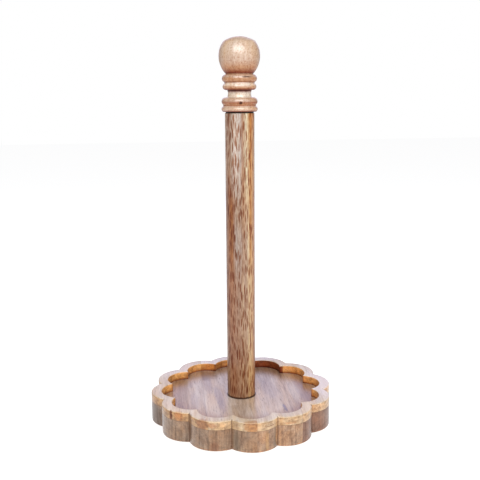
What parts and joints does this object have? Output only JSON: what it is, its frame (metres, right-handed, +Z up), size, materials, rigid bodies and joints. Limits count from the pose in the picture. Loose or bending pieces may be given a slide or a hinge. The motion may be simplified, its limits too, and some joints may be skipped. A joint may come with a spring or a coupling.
{
  "type": "paper towel holder",
  "caption": "Free-standing wooden paper towel holder: a scalloped tray with a raised rim, a round post and a turned ball finial that unscrews.",
  "frame": {"origin": "centre of the tray's box at the surface that the pads stand on", "axes": "+Z up the post; -Y is the front; the post's axis is the Z axis"},
  "size_m": [0.1648, 0.1648, 0.341],
  "materials": {
    "tray_board": "satin lacquer",
    "tray_rim": "satin lacquer",
    "post_wood": "satin lacquer",
    "finial_wood": "satin lacquer",
    "fastener_steel": "zinc plated",
    "insert_brass": "plain",
    "pad_rubber": "matt"
  },
  "bodies": {
    "holder": {"board_strip_left": "tray_board", "board_strip_mid_left": "tray_board", "board_strip_mid_right": "tray_board", "board_strip_right": "tray_board", "rim_left": "tray_rim", "rim_front_left": "tray_rim", "rim_back_left": "tray_rim", "rim_front_right": "tray_rim", "rim_back_right": "tray_rim", "rim_right": "tray_rim", "post": "post_wood", "post_top_insert": "insert_brass", "post_bottom_insert": "insert_brass", "base_bolt": "fastener_steel", "base_washer": "fastener_steel", "pad_front_left": "pad_rubber", "pad_front_right": "pad_rubber", "pad_back_left": "pad_rubber", "pad_back_right": "pad_rubber"},
    "stud": {"finial_stud": "fastener_steel"},
    "finial": {"finial": "finial_wood"}
  },
  "joints": [
    {"name": "finial_rise", "type": "slide", "parent": "holder", "child": "stud", "axis": [0, 0, 1], "range_m": [0, 0.0155]},
    {"name": "finial_turn", "type": "hinge", "parent": "stud", "child": "finial", "pos_m": [0, 0, 0.278], "axis": [0, 0, 1], "range_deg": [0, 4464]}
  ],
  "couplings": [
    {"joint": "finial_rise", "follows": "finial_turn", "m_per_rad": 0.00019894}
  ]
}
